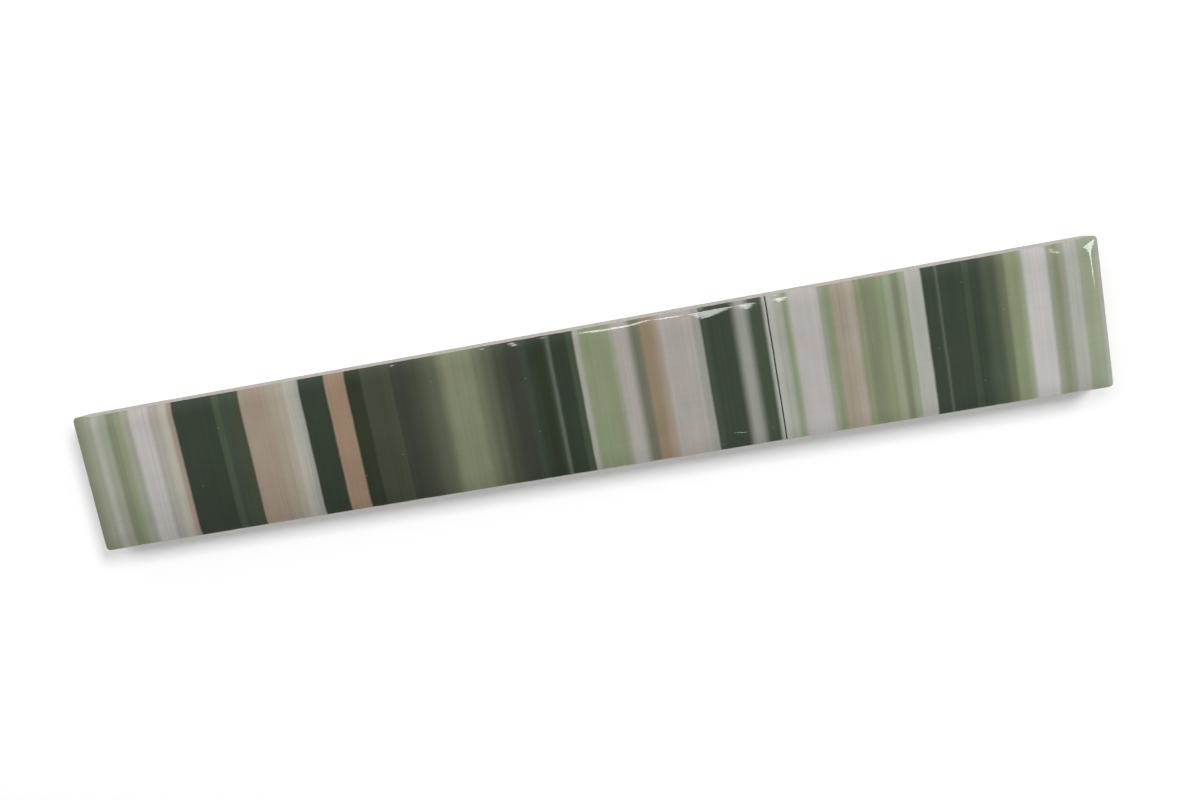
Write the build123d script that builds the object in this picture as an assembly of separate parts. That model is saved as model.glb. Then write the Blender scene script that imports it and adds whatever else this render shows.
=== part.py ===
from build123d import *

import os

# Glazed ceramic edge tile: one dust-pressed strip with a cushioned face and a keyed back.
# The tile lies on its back. X runs along the strip, Y across it, and Z up out of the glazed face.
# The origin is the middle of the back, on the bedding plane. All sizes are in millimetres.

# The whole strip
LENGTH = 250.0
WIDTH = 35.0
THICKNESS = 8.0
CORNER_RADIUS = 0.9

# The glazed face is flat and rolls off in an elliptical cushion before each edge
CUSHION_WIDTH = 4.0
CUSHION_DROP = 0.6

# The pressed bevel that lets the strip out of its mould, all round the back
BEVEL_WIDTH = 0.8
BEVEL_HEIGHT = 1.2

# The keyed back: a waffle of shallow drafted pockets inside a plain rim, as near the target side as
# a whole number of pockets allows
RIM_WIDTH = 2.4
RIB_WIDTH = 2.0
POCKET_TARGET = 13.2
POCKET_DEPTH = 0.8
POCKET_CORNER_RADIUS = 1.0
POCKET_DRAFT_DEGREES = 30.0


def edge_profile(span):
    """The tile's section between two opposite edges that lie a span apart."""
    half_span = span / 2
    shoulder = THICKNESS - CUSHION_DROP
    cushion_start = half_span - CUSHION_WIDTH
    back_and_wall = Polyline(
        (0, 0),
        (half_span - BEVEL_WIDTH, 0),
        (half_span, BEVEL_HEIGHT),
        (half_span, shoulder),
    )
    cushion = EllipticalCenterArc(
        (cushion_start, shoulder), CUSHION_WIDTH, CUSHION_DROP, start_angle=0, arc_size=90
    )
    face = Line((cushion_start, THICKNESS), (0, THICKNESS))
    right_half = back_and_wall + cushion + face
    return make_face(right_half + mirror(right_half, Plane.YZ))


def pressed_body():
    """The strip before its back is keyed: side and end cushions meet in a hip at each corner.

    The two profiles are pulled well past the outline, which alone sets the strip's plan.
    """
    outline = extrude(RectangleRounded(LENGTH, WIDTH, CORNER_RADIUS), THICKNESS)
    along = extrude(Plane.YZ * edge_profile(WIDTH), LENGTH, both=True)
    across = extrude(Plane.XZ * edge_profile(LENGTH), WIDTH, both=True)
    return outline & along & across


def pockets_in(keyed_span):
    """How many pockets of about the target side a keyed span takes, and the side of each."""
    count = max(1, round((keyed_span + RIB_WIDTH) / (POCKET_TARGET + RIB_WIDTH)))
    return count, (keyed_span + RIB_WIDTH) / count - RIB_WIDTH


def back_pockets():
    """The waffle of pockets, each narrower at its floor, ready to be cut from the back."""
    keyed_length = LENGTH - 2 * (BEVEL_WIDTH + RIM_WIDTH)
    keyed_width = WIDTH - 2 * (BEVEL_WIDTH + RIM_WIDTH)
    columns, pocket_length = pockets_in(keyed_length)
    rows, pocket_width = pockets_in(keyed_width)
    mouth = RectangleRounded(pocket_length, pocket_width, POCKET_CORNER_RADIUS)
    pocket = extrude(mouth, POCKET_DEPTH, taper=POCKET_DRAFT_DEGREES)
    print(f"back: {columns} x {rows} pockets of {pocket_length:.2f} x {pocket_width:.2f} mm")
    grid = GridLocations(pocket_length + RIB_WIDTH, pocket_width + RIB_WIDTH, columns, rows)
    return [place * pocket for place in grid]


edge_tile = pressed_body() - back_pockets()
edge_tile.label = "edge_tile"

os.makedirs("parts", exist_ok=True)
export_step(edge_tile, "parts/edge_tile.step")
print(f"edge_tile: {edge_tile.volume:.0f} cubic mm, {len(edge_tile.faces())} faces")
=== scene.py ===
# %% [markdown]
# # A glazed ceramic edge tile
# The object is one long narrow wall tile: a pale pressed body, a glossy face printed with stripes
# across its width, and a keyed back that adhesive grips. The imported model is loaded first, because
# it fixes the tile's size and place, and everything below is measured from it.

# %% Load the frame
from math import atan2, hypot, pi, radians, sqrt, tan

import bmesh
import bpy
from mathutils import Matrix, Quaternion, Vector, noise


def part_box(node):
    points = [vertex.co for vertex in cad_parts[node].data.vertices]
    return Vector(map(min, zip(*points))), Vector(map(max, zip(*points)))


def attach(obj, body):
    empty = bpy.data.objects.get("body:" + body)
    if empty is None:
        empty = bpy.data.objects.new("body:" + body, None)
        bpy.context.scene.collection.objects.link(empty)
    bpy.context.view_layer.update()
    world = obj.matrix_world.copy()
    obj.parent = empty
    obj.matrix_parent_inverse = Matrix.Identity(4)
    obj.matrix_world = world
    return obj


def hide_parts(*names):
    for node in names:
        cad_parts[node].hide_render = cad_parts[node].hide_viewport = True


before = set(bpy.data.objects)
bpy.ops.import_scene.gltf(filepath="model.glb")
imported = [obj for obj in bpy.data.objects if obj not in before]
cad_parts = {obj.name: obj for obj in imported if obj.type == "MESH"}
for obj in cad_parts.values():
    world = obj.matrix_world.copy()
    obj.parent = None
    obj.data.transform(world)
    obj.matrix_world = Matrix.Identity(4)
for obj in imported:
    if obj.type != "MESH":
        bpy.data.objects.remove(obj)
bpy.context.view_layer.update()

MM = 0.001
low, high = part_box("edge_tile")
length, width, thickness = high - low
print(f"tile {length / MM:.1f} x {width / MM:.1f} x {thickness / MM:.1f} mm")

# %% [markdown]
# ## The camera
# The photograph looks almost straight down on the tile from a hand's length away, with the long
# side turned a little. A camera could be aimed with a tracking constraint, but two points and a
# roll are easier to read and to nudge, so the view is the line from the eye to the aim point, and
# the roll turns the picture about that line.

# %% Set up the camera
EYE = Vector((33.0, 33.4, 244.2)) * MM
AIM = Vector((7.45, -0.4, 8.0)) * MM
ROLL = radians(-153.06)
LENS = 30.0
SENSOR = 36.0
NEAREST_SEEN = 10.0 * MM

camera_data = bpy.data.cameras.new("photo_view")
camera_data.lens = LENS
camera_data.sensor_width = SENSOR
camera_data.clip_start = NEAREST_SEEN
camera = bpy.data.objects.new("photo_view", camera_data)
turn = (AIM - EYE).to_track_quat("-Z", "Y") @ Quaternion((0, 0, 1), ROLL)
camera.matrix_world = Matrix.LocRotScale(EYE, turn, None)
bpy.context.scene.collection.objects.link(camera)
bpy.context.scene.camera = camera
print(f"camera {(EYE - AIM).length / MM:.0f} mm from its aim point")

# %% [markdown]
# ## The glazed face
# Glaze is thick glass: it lies flat over most of the face and rolls off in a cushion before each
# edge, and the glossy highlights live on that roll. A bevel would give the roll, but one even mesh
# for the whole face can also carry the slow swells of real glaze. So a grid is made with one
# operator, its outer rows are crowded into the cushion, and each vertex is lifted to the height
# that the glaze has there. The grid starts one unit wide, so that rows can be counted across it.

# %% Crowd the rows of the face into its cushion
CUSHION_WIDTH = 4.0 * MM
CUSHION_DROP = 0.6 * MM
CUSHION_ROWS = 16
CELL = 0.65 * MM
UNIT_HALF = 0.5


def cells_across(span):
    """How many grid cells cross a span: the flat middle and a cushion at each side."""
    return round((span - 2 * CUSHION_WIDTH) / CELL) + 2 * CUSHION_ROWS


def row_place(row, span):
    """Where one row of the grid lies, with the rows closer together in the cushion."""
    cells = cells_across(span)
    from_end = min(row, cells - row)
    if from_end < CUSHION_ROWS:
        inset = CUSHION_WIDTH * from_end / CUSHION_ROWS
        return (span / 2 - inset) * (1 if row > from_end else -1)
    flat = span - 2 * CUSHION_WIDTH
    return flat * ((row - CUSHION_ROWS) / (cells - 2 * CUSHION_ROWS) - UNIT_HALF)


tile = bmesh.new()
x_cells, y_cells = cells_across(length), cells_across(width)
bmesh.ops.create_grid(tile, x_segments=x_cells, y_segments=y_cells, size=UNIT_HALF)
for vertex in tile.verts:
    vertex.co.x = row_place(round((vertex.co.x + UNIT_HALF) * x_cells), length)
    vertex.co.y = row_place(round((vertex.co.y + UNIT_HALF) * y_cells), width)
print(f"face grid of {x_cells} x {y_cells} cells")

# %% Round the corners in plan
CORNER_RADIUS = 0.9 * MM


def round_corner(vertex):
    """Pull a vertex of a square corner onto the arcs inside it, like a square drawn into a disc."""
    x_over = max(0.0, abs(vertex.co.x) - length / 2 + CORNER_RADIUS) / CORNER_RADIUS
    y_over = max(0.0, abs(vertex.co.y) - width / 2 + CORNER_RADIUS) / CORNER_RADIUS
    x_pull = CORNER_RADIUS * x_over * (1 - sqrt(1 - y_over**2 / 2))
    y_pull = CORNER_RADIUS * y_over * (1 - sqrt(1 - x_over**2 / 2))
    vertex.co.x -= x_pull if vertex.co.x > 0 else -x_pull
    vertex.co.y -= y_pull if vertex.co.y > 0 else -y_pull


for vertex in tile.verts:
    round_corner(vertex)
print(f"corner radius {CORNER_RADIUS / MM} mm")

# %% Lift the face to the glaze's height
SWELL_HEIGHT = 0.035 * MM
SWELL_LENGTH = 14.0 * MM
SWELL_FADE = 4.0 * MM
SWELL_SEED = Vector((3.7, 1.9, 0.4))


def edge_share(distance):
    """How far into the cushion a place is: 0 where the flat begins and 1 at the edge."""
    return min(1.0, max(0.0, 1 - distance / CUSHION_WIDTH))


def cushion_height(x, y):
    """The height of the even cushion, which falls away ever faster and meets in softened hips."""
    side = edge_share(width / 2 - abs(y))
    end = edge_share(length / 2 - abs(x))
    return thickness - CUSHION_DROP * hypot(side**2, end**2)


def swell(x, y):
    """The slow rise and fall of the glaze, which dies out before the cushion."""
    inset = min(width / 2 - abs(y), length / 2 - abs(x)) - CUSHION_WIDTH
    fade = min(1.0, max(0.0, inset / SWELL_FADE))
    wave = noise.noise(Vector((x, y, 0)) / SWELL_LENGTH + SWELL_SEED)
    return SWELL_HEIGHT * wave * fade


def face_height(x, y):
    """The height of the glaze: the cushion and the swell together."""
    return cushion_height(x, y) + swell(x, y)


for vertex in tile.verts:
    vertex.co.z = face_height(vertex.co.x, vertex.co.y)
heights = [vertex.co.z / MM for vertex in tile.verts]
print(f"face between {min(heights):.2f} and {max(heights):.2f} mm")

# %% [markdown]
# ## The walls and the pressed bevel
# Below the glaze the body has straight walls, and a small bevel round the back lets it out of the
# press. Both follow the outline of the face, so its open edge is extruded twice, first straight
# down and then down and in, which keeps every corner arc in line.

# %% Draw down the walls and the bevel
BEVEL_WIDTH = 0.8 * MM
BEVEL_HEIGHT = 1.2 * MM


def drawn_down(edges, depth_to):
    """Extrude a loop of edges down to a height, and give the new loop's vertices and edges."""
    made = bmesh.ops.extrude_edge_only(tile, edges=edges)["geom"]
    new_verts = [item for item in made if isinstance(item, bmesh.types.BMVert)]
    for vertex in new_verts:
        vertex.co.z = depth_to
    loop = set(new_verts)
    new_edges = [
        item for item in made if isinstance(item, bmesh.types.BMEdge) and loop.issuperset(item.verts)
    ]
    return new_verts, new_edges


arris = [edge for edge in tile.edges if edge.is_boundary]
_, wall_foot = drawn_down(arris, BEVEL_HEIGHT)
back_verts, back_rim = drawn_down(wall_foot, 0.0)
inward = (1 - 2 * BEVEL_WIDTH / length, 1 - 2 * BEVEL_WIDTH / width, 1.0)
bmesh.ops.scale(tile, vec=inward, verts=back_verts)
print(f"walls of {len(wall_foot)} faces, bevel {BEVEL_WIDTH / MM} x {BEVEL_HEIGHT / MM} mm")

# %% [markdown]
# ## The keyed back
# Adhesive needs something to grip, so the back is pressed into a waffle of shallow pockets with
# sloping walls. The pockets could be cut with booleans, but a coarse grid whose cells are the
# pockets and the ribs is cleaner: the pocket cells are inset and sunk in one step, their corners are
# bevelled, and the plain rim is filled in between the grid and the outline.

# %% Lay out the waffle
RIM_WIDTH = 2.4 * MM
RIB_WIDTH = 2.0 * MM
POCKET_TARGET = 13.2 * MM
POCKET_DEPTH = 0.8 * MM
POCKET_DRAFT = radians(30)
POCKET_CORNER_RADIUS = 1.0 * MM
POCKET_CORNER_STEPS = 4


class Waffle:
    """The lines of pockets and ribs along one direction of the back."""

    def __init__(self, span):
        self.keyed = span - 2 * (BEVEL_WIDTH + RIM_WIDTH)
        self.pockets = max(1, round((self.keyed + RIB_WIDTH) / (POCKET_TARGET + RIB_WIDTH)))
        self.pocket = (self.keyed + RIB_WIDTH) / self.pockets - RIB_WIDTH
        self.cells = 2 * self.pockets - 1

    def line_place(self, line):
        """Where one line between a pocket and a rib lies, counted from the low end."""
        pitch = self.pocket + RIB_WIDTH
        return (line // 2) * pitch + (line % 2) * self.pocket - self.keyed / 2


columns, rows = Waffle(length), Waffle(width)
field = bmesh.ops.create_grid(
    tile, x_segments=columns.cells, y_segments=rows.cells, size=UNIT_HALF
)["verts"]
for vertex in field:
    vertex.co.x = columns.line_place(round((vertex.co.x + UNIT_HALF) * columns.cells))
    vertex.co.y = rows.line_place(round((vertex.co.y + UNIT_HALF) * rows.cells))
field_faces = {face for vertex in field for face in vertex.link_faces}
bmesh.ops.reverse_faces(tile, faces=list(field_faces))
print(f"waffle of {columns.pockets} x {rows.pockets} pockets, {columns.pocket / MM:.2f} mm long")

# %% Sink the pockets and fill the rim
rim_edges = [edge for vertex in field for edge in vertex.link_edges if edge.is_boundary]
rim_edges = list(set(rim_edges)) + back_rim
bmesh.ops.triangle_fill(tile, use_beauty=True, edges=rim_edges, normal=(0, 0, -1))

pockets = [
    face for face in field_faces
    if abs(face.calc_area() - columns.pocket * rows.pocket) < RIB_WIDTH**2
]
floor_inset = POCKET_DEPTH * tan(POCKET_DRAFT)
pocket_walls = bmesh.ops.inset_individual(
    tile, faces=pockets, thickness=floor_inset, depth=-POCKET_DEPTH, use_even_offset=True
)["faces"]


def rise(edge):
    """How much higher one end of an edge is than the other."""
    return abs(edge.verts[0].co.z - edge.verts[1].co.z)


wall_edges = {edge for face in pocket_walls for edge in face.edges}
slopes = [edge for edge in wall_edges if rise(edge) > POCKET_DEPTH / 2]
bmesh.ops.bevel(
    tile, geom=slopes, offset=POCKET_CORNER_RADIUS, segments=POCKET_CORNER_STEPS,
    profile=0.5, affect="EDGES", material=-1,
)
bmesh.ops.recalc_face_normals(tile, faces=tile.faces)
print(f"{len(pockets)} pockets sunk {POCKET_DEPTH / MM} mm, {len(slopes)} corners rounded")

# %% Make the tile an object on the frame
SHARP_ANGLE = radians(38)
for edge in tile.edges:
    edge.smooth = not (edge.is_manifold and edge.calc_face_angle() > SHARP_ANGLE)
for face in tile.faces:
    face.smooth = True
open_edges = sum(not edge.is_manifold for edge in tile.edges)

tile_mesh = bpy.data.meshes.new("striped_edge_tile")
tile.to_mesh(tile_mesh)
tile.free()
striped_tile = bpy.data.objects.new("striped_edge_tile", tile_mesh)
bpy.context.scene.collection.objects.link(striped_tile)
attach(striped_tile, "root")
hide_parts("edge_tile")
print(f"tile mesh of {len(tile_mesh.polygons)} faces, {open_edges} open edges")

# %% [markdown]
# ## Shader maths in plain Python
# A material is a web of small nodes, and wiring each by hand hides what it does. Two short classes
# turn it into sums: a Value is a socket that can be added and multiplied, and a Web is a node tree
# that adds any node from its type, its settings and what goes into its sockets. The Mix node uses
# one name for several sockets, so those are told apart by number.

# %% Define the shader helpers
MIX_SHARE, MIX_FIRST, MIX_SECOND, MIX_COLOUR = 0, 6, 7, 2
NOISE_MIDDLE = 0.5


class Value:
    """A number, colour or vector that changes over a surface. Sums of numbers add Math nodes."""

    def __init__(self, web, socket):
        self.web = web
        self.socket = socket

    def maths(self, operation, first, second):
        """One sum on two numbers."""
        return self.web.node("ShaderNodeMath", {"operation": operation}, {0: first, 1: second})

    def __add__(self, other):
        return self.maths("ADD", self, other)

    def __radd__(self, other):
        return self.maths("ADD", other, self)

    def __sub__(self, other):
        return self.maths("SUBTRACT", self, other)

    def __rsub__(self, other):
        return self.maths("SUBTRACT", other, self)

    def __mul__(self, other):
        return self.maths("MULTIPLY", self, other)

    def __rmul__(self, other):
        return self.maths("MULTIPLY", other, self)


class Web:
    """The node tree of a material or of the sky, to which nodes are added one by one."""

    def __init__(self, owner):
        owner.use_nodes = True
        self.tree = owner.node_tree
        self.tree.nodes.clear()

    def node(self, kind, settings=None, inputs=None, output=0):
        """Add a node of a kind, set it, feed its sockets and give one of its outputs."""
        made = self.tree.nodes.new(kind)
        for name, value in (settings or {}).items():
            setattr(made, name, value)
        for name, value in (inputs or {}).items():
            if isinstance(value, Value):
                self.tree.links.new(value.socket, made.inputs[name])
            else:
                made.inputs[name].default_value = value
        return Value(self, made.outputs[output]) if made.outputs else None

    def blend(self, share, first, second):
        """One colour laid over another by a share from 0 to 1."""
        settings = {"data_type": "RGBA"}
        inputs = {MIX_SHARE: share, MIX_FIRST: first, MIX_SECOND: second}
        return self.node("ShaderNodeMix", settings, inputs, output=MIX_COLOUR)

    def step(self, value, start, end):
        """A soft step from 0 at start to 1 at end."""
        settings = {"interpolation_type": "SMOOTHSTEP"}
        inputs = {"Value": value, "From Min": start, "From Max": end}
        return self.node("ShaderNodeMapRange", settings, inputs)

    def grain(self, place, stretch, detail=2.0):
        """Noise from 0 to 1, with its own scale along each axis, in grains per metre."""
        squeezed = self.node("ShaderNodeMapping", None, {"Vector": place, "Scale": stretch})
        return self.node("ShaderNodeTexNoise", None, {"Vector": squeezed, "Scale": 1.0, "Detail": detail})

    def ripple(self, place, stretch):
        """The same noise about zero, for what goes down as often as up."""
        return self.grain(place, stretch) - NOISE_MIDDLE


def screen(red, green, blue):
    """A colour as a screen shows it, from 0 to 255, turned by the sRGB curve into linear light."""
    shares = [part / 255 for part in (red, green, blue)]
    return (*[s / 12.92 if s <= 0.04045 else ((s + 0.055) / 1.055) ** 2.4 for s in shares], 1.0)


print("shader helpers ready")

# %% [markdown]
# ## The striped glaze
# The face is printed with bands of green, grey and earth colours before it is fired. Some edges are
# crisp and others melt into each other. A ramp could hold a few bands, but not this many, so the
# stripes are laid one over another from left to right, as a printer would: each has the place where
# it starts in millimetres, how softly, and the glaze it uses. Fine streaks then break up the colour,
# and a few pinholes are pricked in it, as gas leaves them in real glaze. Over the left part the
# colour is also made lighter near the upper edge and darker toward the lower edge, which is painted
# light and shade.

# %% Choose the glazes
GLAZES = {
    "bottle": screen(51, 60, 49),
    "ivy": screen(48, 55, 41),
    "spruce": screen(60, 69, 58),
    "forest": screen(64, 71, 56),
    "pine": screen(68, 78, 63),
    "charcoal": screen(59, 62, 54),
    "slate": screen(69, 73, 60),
    "fir": screen(76, 86, 70),
    "moss": screen(89, 94, 77),
    "lichen": screen(90, 97, 87),
    "fern": screen(104, 111, 89),
    "pewter": screen(108, 109, 95),
    "sage": screen(122, 128, 104),
    "celadon": screen(132, 141, 112),
    "willow": screen(145, 154, 130),
    "mist": screen(146, 149, 133),
    "ash": screen(149, 150, 142),
    "dove": screen(160, 161, 151),
    "stone": screen(158, 155, 147),
    "silver": screen(169, 171, 162),
    "shell": screen(178, 174, 171),
    "pearl": screen(188, 186, 183),
    "oat": screen(171, 167, 156),
    "sand": screen(165, 160, 154),
    "taupe": screen(151, 137, 122),
    "clay": screen(155, 146, 130),
    "wheat": screen(163, 155, 142),
    "ochre": screen(139, 124, 101),
    "terracotta": screen(146, 124, 104),
    "ink": screen(48, 48, 46),
}
print(f"{len(GLAZES)} glazes")

# %% List the stripes
HARD, CRISP, SOFT, FADED, LONG = 0.15, 0.7, 1.3, 2.4, 5.0
# Each stripe: where it starts, in millimetres from the left end, how softly, and its glaze
STRIPES = [
    (2.6, LONG, "mist"), (4.7, SOFT, "dove"), (6.4, SOFT, "mist"), (8.7, SOFT, "sage"),
    (10.8, SOFT, "celadon"), (12.4, SOFT, "mist"), (15.0, SOFT, "shell"), (20.0, SOFT, "stone"),
    (22.7, SOFT, "oat"), (24.9, SOFT, "taupe"), (26.3, CRISP, "bottle"), (37.0, CRISP, "pine"),
    (38.8, CRISP, "spruce"), (41.3, FADED, "forest"), (44.0, CRISP, "taupe"), (51.0, FADED, "clay"),
    (54.0, FADED, "wheat"), (55.8, SOFT, "oat"), (57.2, SOFT, "dove"), (58.6, SOFT, "ash"),
    (59.6, CRISP, "bottle"), (66.3, CRISP, "terracotta"), (71.5, CRISP, "ivy"),
    (75.5, CRISP, "forest"), (81.6, FADED, "slate"), (83.0, CRISP, "charcoal"), (87.6, LONG, "slate"),
    (91.2, LONG, "moss"), (94.6, FADED, "fern"), (95.8, FADED, "sage"), (103.4, FADED, "fern"),
    (105.6, FADED, "moss"), (108.4, FADED, "slate"), (111.2, FADED, "charcoal"), (115.2, FADED, "spruce"),
    (117.0, SOFT, "bottle"), (118.6, SOFT, "ivy"), (121.3, SOFT, "spruce"), (122.0, CRISP, "lichen"),
    (122.9, CRISP, "bottle"), (127.0, SOFT, "pine"), (128.7, CRISP, "dove"), (130.0, SOFT, "celadon"),
    (137.9, FADED, "sand"), (142.0, FADED, "pewter"), (144.6, SOFT, "ochre"), (147.4, FADED, "taupe"),
    (148.6, SOFT, "clay"), (149.4, SOFT, "sand"), (157.2, SOFT, "ash"), (159.0, CRISP, "pine"),
    (160.4, SOFT, "spruce"), (167.0, FADED, "ash"), (170.2, FADED, "pine"), (173.9, SOFT, "silver"),
    (174.62, HARD, "ink"), (174.95, HARD, "silver"), (176.4, SOFT, "dove"), (178.4, SOFT, "celadon"),
    (179.2, SOFT, "willow"), (180.0, SOFT, "shell"), (186.6, SOFT, "mist"), (188.0, SOFT, "celadon"),
    (189.6, SOFT, "clay"), (192.6, FADED, "wheat"), (194.9, SOFT, "celadon"), (196.6, SOFT, "sage"),
    (199.6, FADED, "celadon"), (201.8, SOFT, "willow"), (203.6, SOFT, "sage"), (205.4, SOFT, "willow"),
    (206.8, CRISP, "silver"), (210.45, CRISP, "spruce"), (213.6, CRISP, "lichen"), (214.1, CRISP, "spruce"),
    (219.5, CRISP, "pine"), (221.0, CRISP, "spruce"), (223.6, FADED, "fir"), (227.2, FADED, "fern"),
    (229.0, SOFT, "celadon"), (231.9, SOFT, "willow"), (233.0, SOFT, "pearl"), (238.3, SOFT, "mist"),
    (239.6, SOFT, "celadon"), (241.0, SOFT, "mist"), (242.2, SOFT, "silver"), (245.3, SOFT, "willow"),
    (249.2, SOFT, "dove"),
]
FIRST_GLAZE = "sage"
print(f"{len(STRIPES) + 1} stripes")

# %% Lay the stripes over each other
glaze_material = bpy.data.materials.new("striped_glaze_on_biscuit")
web = Web(glaze_material)
place = web.node("ShaderNodeTexCoord", output="Object")
reach, across, height = [
    web.node("ShaderNodeSeparateXYZ", inputs={0: place}, output=axis) for axis in "XYZ"
]

EDGE_WOBBLE = 0.25
WOBBLE_GRAINS = (40.0, 160.0, 1.0)
wobble = web.ripple(place, WOBBLE_GRAINS) * EDGE_WOBBLE
along = reach * (1 / MM) + (length / 2 / MM) + wobble

stripes = GLAZES[FIRST_GLAZE]
for start, softness, glaze in STRIPES:
    laid = web.step(along, start - softness / 2, start + softness / 2)
    stripes = web.blend(laid, stripes, GLAZES[glaze])
print(f"{len(web.tree.nodes)} nodes for the stripes")

# %% Brush the stripes and paint light and shade over the left part
STREAK_DEPTH, STREAK_GRAINS = 0.30, (1500.0, 18.0, 1.0)
WEAVE_DEPTH, WEAVE_GRAINS = 0.09, (25.0, 1100.0, 1.0)
MOTTLE_DEPTH, MOTTLE_GRAINS = 0.20, (170.0, 110.0, 1.0)
TINT_GRAINS = (420.0, 40.0, 1.0)
WARM_BELOW, COOL_ABOVE = 0.35, 0.65
WARM = (1.02, 0.988, 1.0, 1.0)
COOL = (0.98, 1.01, 0.99, 1.0)
# Painted light and shade: over the left part, lighter near the upper edge and darker toward the lower edge
PAINTED_LIGHT_LIFT, PAINTED_SHADE_DEPTH = 0.07, 0.20
PAINTED_SHADE_LEFT, PAINTED_SHADE_RIGHT = -100.0 * MM, 60.0 * MM
PAINTED_SHADE_FOOT, PAINTED_SHADE_TOP = -16.0 * MM, 4.0 * MM
painted_shade_left_mask = 1 - web.step(reach, PAINTED_SHADE_LEFT, PAINTED_SHADE_RIGHT)
painted_shade_low_mask = 1 - web.step(across, PAINTED_SHADE_FOOT, PAINTED_SHADE_TOP)
streaks_and_painted_shade = 1 + painted_shade_left_mask * (PAINTED_LIGHT_LIFT - painted_shade_low_mask * PAINTED_SHADE_DEPTH)
for depth, grains in (
    (STREAK_DEPTH, STREAK_GRAINS), (WEAVE_DEPTH, WEAVE_GRAINS), (MOTTLE_DEPTH, MOTTLE_GRAINS)
):
    streaks_and_painted_shade = streaks_and_painted_shade + web.ripple(place, grains) * depth
tint = web.blend(web.step(web.grain(place, TINT_GRAINS), WARM_BELOW, COOL_ABOVE), WARM, COOL)
streaked_and_shaded_stripes = web.node("ShaderNodeVectorMath", {"operation": "SCALE"}, {"Vector": stripes, "Scale": streaks_and_painted_shade})
brushed = web.node("ShaderNodeVectorMath", {"operation": "MULTIPLY"}, {0: streaked_and_shaded_stripes, 1: tint})
print("streaks brushed in")

# %% Prick the pinholes
PINHOLE_SPACING = 16.0 * MM
PINHOLE_RADIUS = 0.14 * MM
PINHOLE_SHARE = 0.5
PINHOLE_COLOUR = screen(165, 172, 160)
to_pinhole = web.node(
    "ShaderNodeTexVoronoi", {"voronoi_dimensions": "2D"}, {"Vector": place, "Scale": 1 / PINHOLE_SPACING}
)
pinhole_reach = PINHOLE_RADIUS / PINHOLE_SPACING
pinholes = 1 - web.step(to_pinhole, pinhole_reach / 2, pinhole_reach)
pricked = web.blend(pinholes * PINHOLE_SHARE, brushed, PINHOLE_COLOUR)
print(f"pinholes about {PINHOLE_SPACING / MM} mm apart")

# %% [markdown]
# ## The bare biscuit
# The walls and the back are unglazed: a matt, stone-coloured, slightly speckled body. The glaze stops
# at the top of the wall in an uneven line, a little short of the upper edge and a little over the
# ends. Two materials would need a cut in the mesh along that line, so one material holds both and
# goes from one to the other by height, with a little noise.

# %% Mix the glaze and the biscuit
BISCUIT = screen(181, 175, 167)
BISCUIT_DARK = screen(164, 158, 149)
LAP_HEIGHT = 7.443 * MM
LAP_WOBBLE = 0.05 * MM
LAP_BLUR = 0.015 * MM
UPPER_BARE = 0.052 * MM
UPPER_FROM, UPPER_TO = 5.0 * MM, 15.0 * MM
END_RUN = 0.35 * MM
END_FROM, END_TO = 119.0 * MM, 128.0 * MM
LAP_GRAINS = (260.0, 260.0, 260.0)
SPECKLE_GRAINS = (1500.0, 1500.0, 1500.0)
SPECKLE_DETAIL, SPECKLE_FROM, SPECKLE_TO = 4.0, 0.4, 0.75
off_middle = web.node("ShaderNodeMath", {"operation": "ABSOLUTE"}, {0: reach})
at_ends = web.step(off_middle, END_FROM, END_TO)
at_upper_edge = web.step(across, UPPER_FROM, UPPER_TO)
line = height + at_ends * END_RUN - at_upper_edge * UPPER_BARE
line = line - web.ripple(place, LAP_GRAINS) * LAP_WOBBLE
glazed = web.step(line, LAP_HEIGHT - LAP_BLUR, LAP_HEIGHT + LAP_BLUR)
speckle = web.step(web.grain(place, SPECKLE_GRAINS, SPECKLE_DETAIL), SPECKLE_FROM, SPECKLE_TO)
colour = web.blend(glazed, web.blend(speckle, BISCUIT, BISCUIT_DARK), pricked)

BISCUIT_ROUGHNESS = 0.9
GLAZE_ROUGHNESS = 0.03
roughness = BISCUIT_ROUGHNESS - glazed * (BISCUIT_ROUGHNESS - GLAZE_ROUGHNESS)
surface = web.node("ShaderNodeBsdfPrincipled", inputs={"Base Color": colour, "Roughness": roughness})
web.node("ShaderNodeOutputMaterial", inputs={"Surface": surface})
tile_mesh.materials.append(glaze_material)
print(f"{len(web.tree.nodes)} nodes in the tile's material")

# %% [markdown]
# ## The table and the sky
# The tile lies on white paper that keeps its soft shadow. The glossy face is nearly a mirror for
# what hangs straight above it, so a plain bright sky would grey its dark stripes. The sky is kept dim
# overhead and a little to the near side, where the lower roll looks, and bright everywhere else,
# which lights the colours and leaves the face clear.

# %% Make the floor
FLOOR_SIZE = 6.0
floor_mesh = bpy.data.meshes.new("white_paper")
sheet = bmesh.new()
bmesh.ops.create_grid(sheet, x_segments=1, y_segments=1, size=FLOOR_SIZE / 2)
sheet.to_mesh(floor_mesh)
sheet.free()
floor = bpy.data.objects.new("white_paper", floor_mesh)
bpy.context.scene.collection.objects.link(floor)

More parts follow.
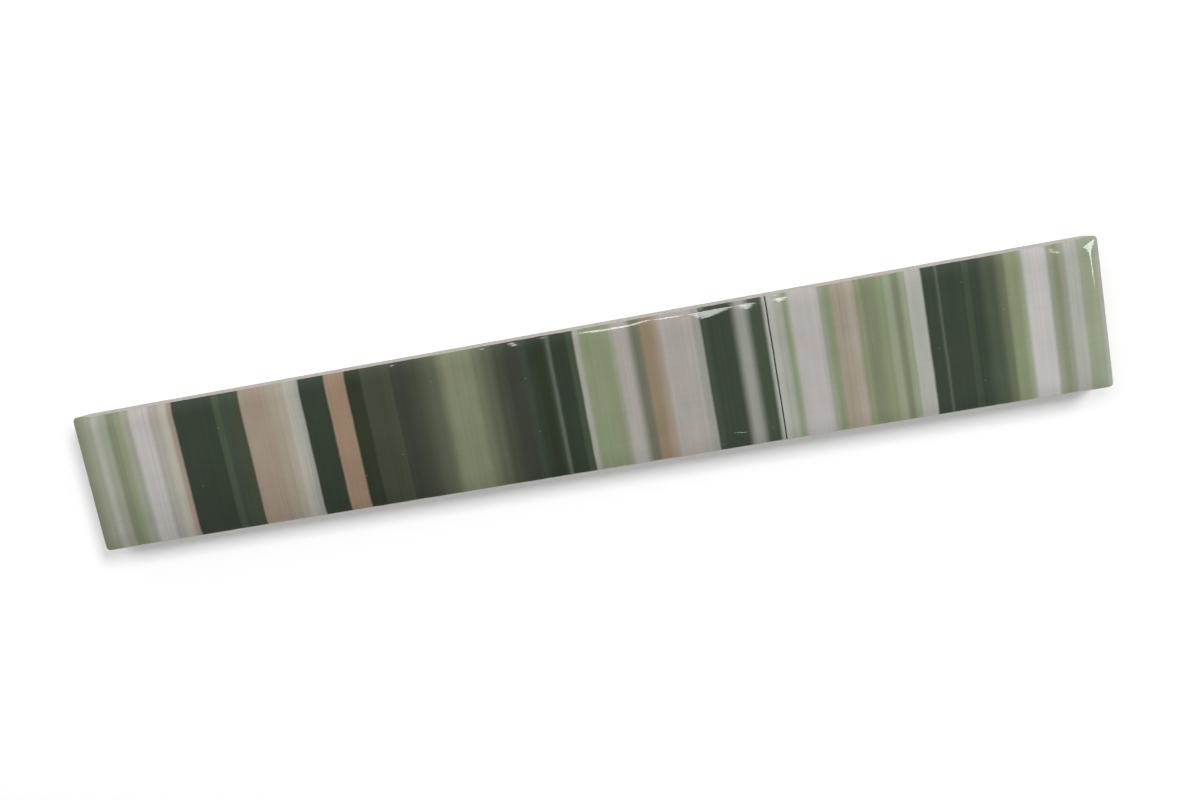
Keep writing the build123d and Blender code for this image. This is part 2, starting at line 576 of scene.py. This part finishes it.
PAPER = (0.81, 0.81, 0.81, 1.0)
PAPER_LIFT = 0.2
paper_material = bpy.data.materials.new("white_paper")
web = Web(paper_material)
seen = web.node("ShaderNodeLightPath", output="Is Camera Ray")
mirrored = web.node("ShaderNodeLightPath", output="Is Glossy Ray")
seen_through = web.node("ShaderNodeLightPath", output="Is Transmission Ray")
paper = web.node("ShaderNodeBsdfDiffuse", inputs={"Color": PAPER})
shown = seen + mirrored + seen_through
lift = web.node("ShaderNodeEmission", inputs={"Strength": shown * PAPER_LIFT})
lifted = web.node("ShaderNodeAddShader", inputs={0: paper, 1: lift})
web.node("ShaderNodeOutputMaterial", inputs={"Surface": lifted})
floor_mesh.materials.append(paper_material)
print(f"floor {FLOOR_SIZE} m across")

# %% Paint the sky
SKY_SIDES, SKY_DIM = 0.67, 0.10
DIM_WAY = Vector((0.0, -0.34, 0.94)).normalized()
DIM_FROM, DIM_TO = 0.64, 0.95
sky = bpy.data.worlds.new("soft_room")
web = Web(sky)
way = web.node("ShaderNodeTexCoord", output="Generated")
nearness = web.node(
    "ShaderNodeVectorMath", {"operation": "DOT_PRODUCT"}, {0: way, 1: DIM_WAY}, output="Value"
)
dimmed = web.step(nearness, DIM_FROM, DIM_TO)
glow = web.node("ShaderNodeBackground", inputs={"Strength": SKY_SIDES - dimmed * (SKY_SIDES - SKY_DIM)})
web.node("ShaderNodeOutputWorld", inputs={"Surface": glow})
bpy.context.scene.world = sky
print(f"sky of {SKY_SIDES} at the sides and {SKY_DIM} overhead")

# %% [markdown]
# ## The lamps
# Two soft boxes light the tile: the shadow lies to the left and below it, so the brighter one hung
# to the right and beyond, and the weaker one to the left and beyond. Neither shows in the gloss. The
# white glints on the rolled edge are other, smaller lamps, mirrored by the glaze, and each tells
# where its lamp hung: the line of sight is mirrored about the glaze at the glint and followed up to
# the ceiling. So the glints are listed where they lie on the tile, and lamps that show only in the
# gloss are hung to suit. A thin glint is one streak from a place on the face to another, made by an
# oval lamp so that it tapers. A broad glint is a wedge, filled with streaks side by side.

# %% Set the soft boxes
def hung_lamp(name, spot, size, radiance, oval=False):
    """A level lamp at a spot, oblong or oval, as bright as asked for wherever it is seen."""
    lamp = bpy.data.lights.new(name, "AREA")
    lamp.shape = "ELLIPSE" if oval else "RECTANGLE"
    lamp.size, lamp.size_y = size
    lamp.energy = radiance * pi * size[0] * size[1] * (pi / 4 if oval else 1)
    holder = bpy.data.objects.new(name, lamp)
    holder.location = spot
    bpy.context.scene.collection.objects.link(holder)
    return holder


KEY_PLACE, KEY_SIZE, KEY_RADIANCE = Vector((3.84, 2.68, 4.0)), (1.9, 2.5), 24.0
FILL_PLACE, FILL_SIZE, FILL_RADIANCE = Vector((-1.8, 2.68, 4.0)), (4.0, 2.5), 3.1
key = hung_lamp("key", KEY_PLACE, KEY_SIZE, KEY_RADIANCE)
fill = hung_lamp("fill", FILL_PLACE, FILL_SIZE, FILL_RADIANCE)
key.visible_glossy = fill.visible_glossy = False
print(f"key {KEY_PLACE.length:.2f} m away, fill {FILL_PLACE.length:.2f} m away")

# %% List the glints
# Each streak, in millimetres: from a place along and an inset to another place and inset, and a breadth
STREAKS = [
    (5.8, 1.15, 12.5, 1.6, 0.35), (8.5, 1.5, 19.0, 1.62, 0.42), (15.5, 1.75, 22.3, 1.05, 0.38),
    (24.4, 1.22, 28.9, 1.5, 0.35),
    (-41.1, 0.8, -41.1, 1.2, 0.6), (-18.4, 0.7, -18.4, 1.05, 0.7), (-11.1, 0.65, -11.1, 1.05, 1.4),
    (-10.6, 1.05, -10.6, 1.55, 1.1), (-3.5, 0.65, -3.5, 0.95, 0.6),
    (34.8, 0.55, 34.8, 0.85, 0.5), (52.3, 0.5, 52.3, 0.8, 0.5),
    (114.45, 1.1, 115.05, 1.95, 0.36), (114.85, 1.8, 116.3, 2.48, 0.36),
    (122.97, 3.4, 123.1, 7.0, 0.3), (123.07, 5.5, 123.28, 11.8, 0.1),
    (37.9, 31.2, 39.0, 31.25, 0.06), (39.0, 31.3, 40.5, 31.55, 0.12),
]
# Each wedge, in millimetres: the same for its broad side, then its tip, and how many streaks fill it
WEDGES = [
    (32.0, 1.5, 42.2, 1.55, 35.4, 3.1, 4), (43.4, 1.55, 47.3, 1.55, 45.5, 2.75, 3),
    (51.5, 1.5, 54.9, 1.5, 52.9, 2.35, 3), (124.5, 1.03, 122.03, 2.21, 122.95, 3.95, 4),
]
STREAK_OVERLAP = 1.2


def filled(start_x, start_inset, end_x, end_inset, tip_x, tip_inset, count):
    """The streaks that fill a wedge, side by side from its broad side to its tip."""
    start, end = Vector((start_x, start_inset)), Vector((end_x, end_inset))
    tip = Vector((tip_x, tip_inset))
    depth_to_tip = abs((end - start).cross(tip - start)) / (end - start).length
    breadth = STREAK_OVERLAP * depth_to_tip / count
    return [
        (*start.lerp(tip, row / count), *end.lerp(tip, row / count), breadth) for row in range(count)
    ]


GLINTS = STREAKS + [streak for wedge in WEDGES for streak in filled(*wedge)]
print(f"{len(GLINTS)} glints")

# %% Hang a lamp for each glint
CEILING = 1.2
GLINT_RADIANCE = 11.0
SLOPE_STEP = 0.01 * MM


def hung_over(x, inset):
    """The place at the ceiling that the camera sees mirrored on the face, so far in from the upper edge."""
    y = width / 2 - inset
    mirror = Vector((x, y, face_height(x, y)))
    x_slope = face_height(x + SLOPE_STEP, y) - face_height(x - SLOPE_STEP, y)
    y_slope = face_height(x, y + SLOPE_STEP) - face_height(x, y - SLOPE_STEP)
    upright = Vector((-x_slope, -y_slope, 2 * SLOPE_STEP)).normalized()
    bounced = (mirror - EYE).reflect(upright)
    return mirror + bounced * ((CEILING - mirror.z) / bounced.z)


def glint_lamp(name, start_x, start_inset, end_x, end_inset, breadth):
    """An oval lamp whose mirror image is a streak from one place on the face to another."""
    start, end = Vector((start_x, start_inset)), Vector((end_x, end_inset))
    middle = (start + end) / 2
    half_breadth = (end - start).orthogonal().normalized() * breadth / 2
    run = (hung_over(*end) - hung_over(*start)).to_2d()
    spread = (hung_over(*(middle + half_breadth)) - hung_over(*(middle - half_breadth))).to_2d()
    size = run.length, abs(run.cross(spread)) / run.length
    lamp = hung_lamp(name, hung_over(*middle), size, GLINT_RADIANCE, oval=True)
    lamp.rotation_euler.z = atan2(run.y, run.x)
    lamp.visible_diffuse = False


for number, glint in enumerate(GLINTS):
    glint_lamp(f"glint_{number}", *[part * MM for part in glint])
print(f"{len(GLINTS)} lamps at the ceiling")

# %% Set the view and finish
bpy.context.scene.view_settings.view_transform = "Standard"
